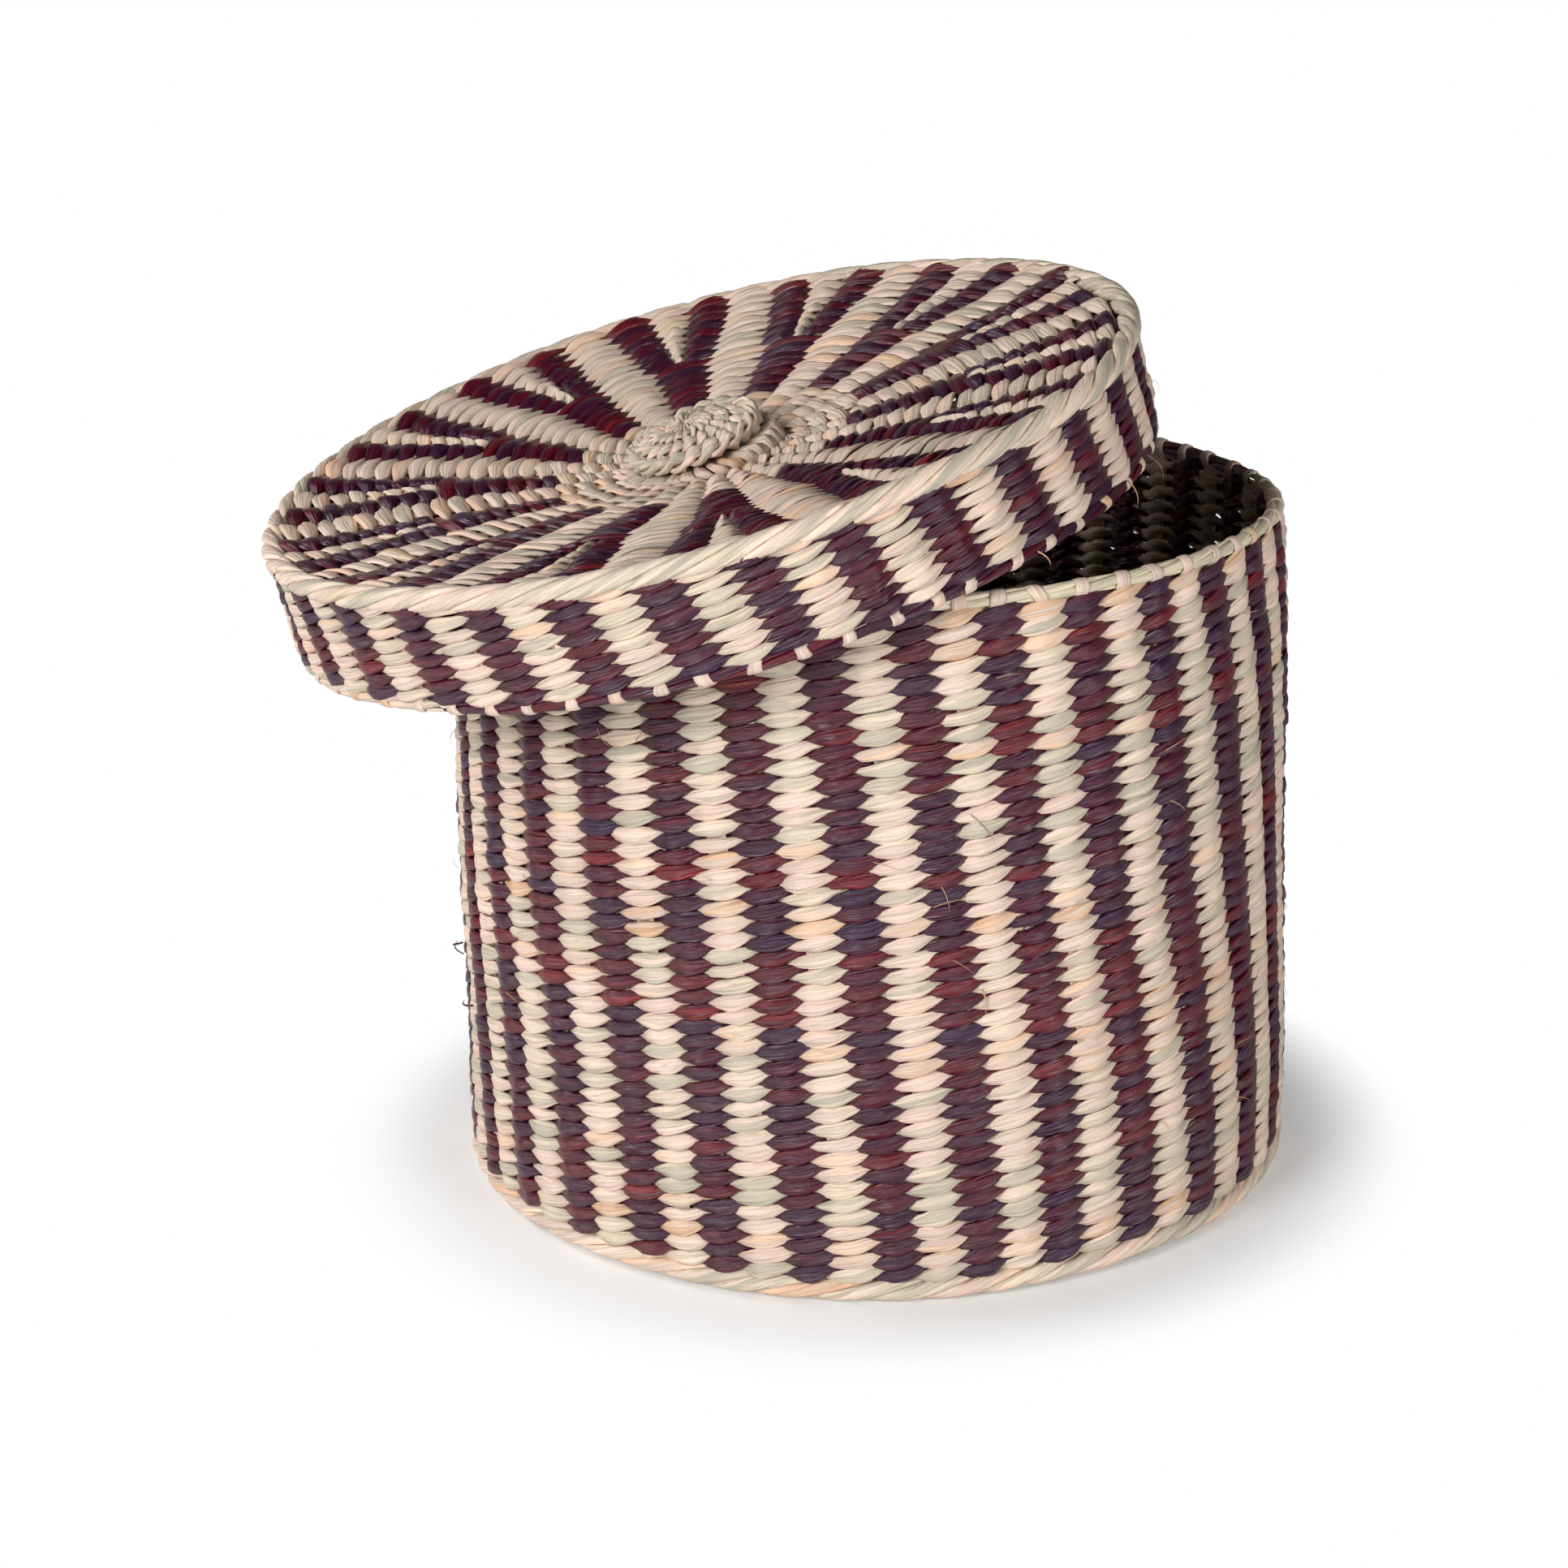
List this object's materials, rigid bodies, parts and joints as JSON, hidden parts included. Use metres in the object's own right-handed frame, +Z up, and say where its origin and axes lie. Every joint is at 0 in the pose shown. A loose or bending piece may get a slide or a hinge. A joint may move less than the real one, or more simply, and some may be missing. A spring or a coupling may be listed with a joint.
{
  "type": "lidded basket",
  "caption": "Round lidded storage basket of twined plant fibre with dark and pale stripes, its shallow lid resting askew on the open mouth.",
  "frame": {"origin": "centre of the basket's flat underside, on the surface it stands on", "axes": "+Z up along the basket's axis; -Y is the side seen in the picture; the lid leans down towards -X"},
  "size_m": [0.2389, 0.2187, 0.2096],
  "materials": {
    "natural_strand": "satin natural plant fibre, cream to tan and greenish straw",
    "dyed_strand": "satin dyed plant fibre, plum to wine red",
    "striped_weave": "twined rows of natural and dyed strands in upright stripes",
    "stake": "matt split plant stem"
  },
  "bodies": {
    "basket": {"base_rosette": "natural_strand", "base_weave": "striped_weave", "foot_cord": "natural_strand", "body_stakes": "stake", "wall_weave": "striped_weave", "mouth_cord": "natural_strand"},
    "lid": {"lid_rosette": "natural_strand", "lid_top_weave": "striped_weave", "lid_stakes": "stake", "ridge_cord": "natural_strand", "skirt_weave": "striped_weave", "hem_cord": "dyed_strand", "knob_cap": "natural_strand", "knob_stem": "natural_strand", "knob_tie": "natural_strand"}
  },
  "joints": [
    {"name": "lid_lift", "type": "slide", "parent": "basket", "child": "lid", "axis": [0, 0, 1], "range_m": [0, 0.12]}
  ]
}
